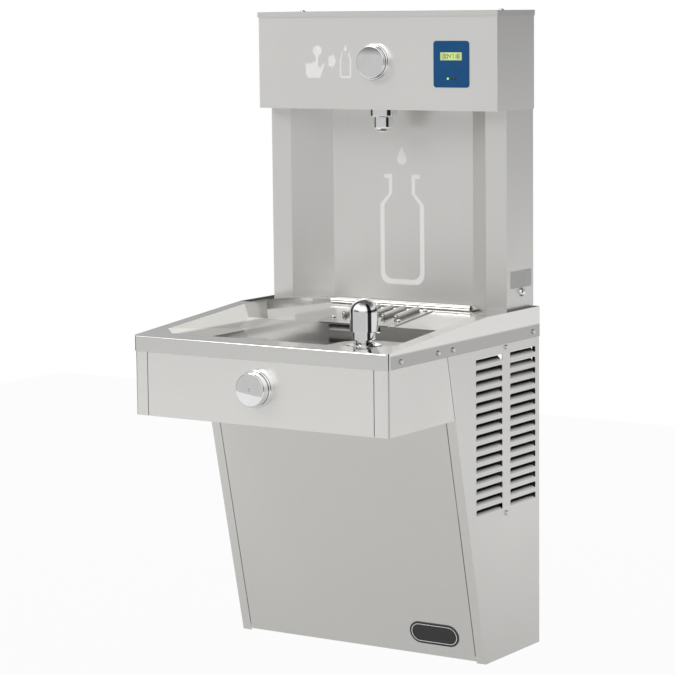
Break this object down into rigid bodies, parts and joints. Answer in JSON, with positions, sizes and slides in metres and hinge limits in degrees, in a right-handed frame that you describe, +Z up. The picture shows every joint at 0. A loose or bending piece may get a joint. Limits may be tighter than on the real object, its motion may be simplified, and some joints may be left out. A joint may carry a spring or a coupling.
{
  "type": "bottle filling station",
  "caption": "Wall-hung chilled drinking-water station: push-button bottle filler with an open alcove above a shallow basin with a bubbler, over a louvred cabinet.",
  "frame": {"origin": "midway between the wall hanger's two screws, on the wall's surface, 400 mm above the cabinet's foot", "axes": "+X to the right as seen from the front, +Y into the wall, +Z up; the front faces -Y"},
  "size_m": [0.4618, 0.465, 0.9977],
  "materials": {
    "satin_stainless": "satin brushed stainless sheet",
    "polished_steel": "bright stainless",
    "galvanised_sheet": "dull galvanised sheet",
    "chrome_trim": "polished chrome plate",
    "screw_steel": "plated screw steel",
    "spring_steel": "bright spring wire",
    "tank_steel": "dull stainless tank",
    "motor_steel": "dull zinc",
    "condenser_fins": "thin matt fins",
    "copper_tube": "drawn copper",
    "brass_fitting": "machined brass",
    "black_enamel": "black enamel",
    "black_plate": "satin black plate",
    "black_plastic": "moulded black plastic",
    "white_plastic": "moulded white plastic",
    "cartridge_plastic": "glossy white plastic",
    "clear_hose": "natural hose",
    "grey_foam": "moulded foam",
    "dark_rubber": "dark rubber",
    "white_print": "flat pale print",
    "blue_lens": "glossy blue panel",
    "counter_window": "dim display window",
    "lamp_plastic": "small lamp lenses",
    "circuit_board": "green circuit board",
    "bare_plate": "bare printed plate"
  },
  "bodies": {
    "station": {"wall_hanger": "galvanised_sheet", "back_panel": "galvanised_sheet", "base_pan": "galvanised_sheet", "left_side_panel": "satin_stainless", "right_side_panel": "satin_stainless", "access_panel": "satin_stainless", "access_panel_plate": "black_plate", "apron_wrap": "satin_stainless", "apron_front_plate": "satin_stainless", "basin": "satin_stainless", "drain_plate": "polished_steel", "drain_plate_screws": "polished_steel", "panel_screws": "screw_steel", "bubbler_base": "chrome_trim", "bubbler_hood": "chrome_trim", "bubbler_nut": "screw_steel", "waste_pipe": "chrome_trim", "tower_back_plate": "galvanised_sheet", "left_column": "satin_stainless", "right_column": "satin_stainless", "alcove_liner": "satin_stainless", "alcove_inlay": "white_print", "head_cover": "satin_stainless", "head_lid": "satin_stainless", "lid_screws": "screw_steel", "head_pictograms": "white_print", "display_lens": "blue_lens", "display_window": "counter_window", "status_lamps": "lamp_plastic", "display_board": "circuit_board", "column_plate": "bare_plate", "column_lock": "chrome_trim", "nozzle_nut": "chrome_trim", "nozzle_spout": "chrome_trim", "filler_valve": "white_plastic", "filler_bezel": "chrome_trim", "filler_spring": "spring_steel", "filler_switch": "black_plastic", "bubbler_bezel": "chrome_trim", "bubbler_spring": "spring_steel", "bubbler_valve": "white_plastic", "inlet_fitting": "brass_fitting", "water_lines": "clear_hose", "filter_head": "white_plastic", "cooling_tank": "tank_steel", "tank_insulation": "grey_foam", "insulation_lid": "grey_foam", "compressor": "black_enamel", "compressor_grommets": "dark_rubber", "condenser": "condenser_fins", "fan_shroud": "black_plastic", "fan_motor": "motor_steel", "refrigerant_lines": "copper_tube", "control_box": "galvanised_sheet"},
    "filler_button": {"filler_cap": "chrome_trim"},
    "bubbler_button": {"bubbler_cap": "chrome_trim"},
    "fan": {"fan_blades": "black_plastic", "fan_shaft": "screw_steel"},
    "cartridge": {"filter_cartridge": "cartridge_plastic"},
    "knob": {"thermostat_knob": "black_plastic"}
  },
  "joints": [
    {"name": "filler_button_press", "type": "slide", "parent": "station", "child": "filler_button", "axis": [0, 1, 0], "range_m": [0, 0.004], "stiffness_N_per_m": 500, "springref_m": -0.008, "deforming": ["filler_spring"]},
    {"name": "bubbler_button_press", "type": "slide", "parent": "station", "child": "bubbler_button", "axis": [0, 1, 0], "range_m": [0, 0.004], "stiffness_N_per_m": 500, "springref_m": -0.008, "deforming": ["bubbler_spring"]},
    {"name": "fan_spin", "type": "hinge", "parent": "station", "child": "fan", "pos_m": [0.137, -0.12, -0.06], "axis": [1, 0, 0], "continuous": true},
    {"name": "cartridge_turn", "type": "hinge", "parent": "station", "child": "cartridge", "pos_m": [0.01, -0.122, -0.11], "axis": [0, 0, 1], "range_deg": [0, 90]},
    {"name": "thermostat_turn", "type": "hinge", "parent": "station", "child": "knob", "pos_m": [0.143, -0.132, -0.348], "axis": [0, -1, 0], "range_deg": [-135, 135]}
  ]
}
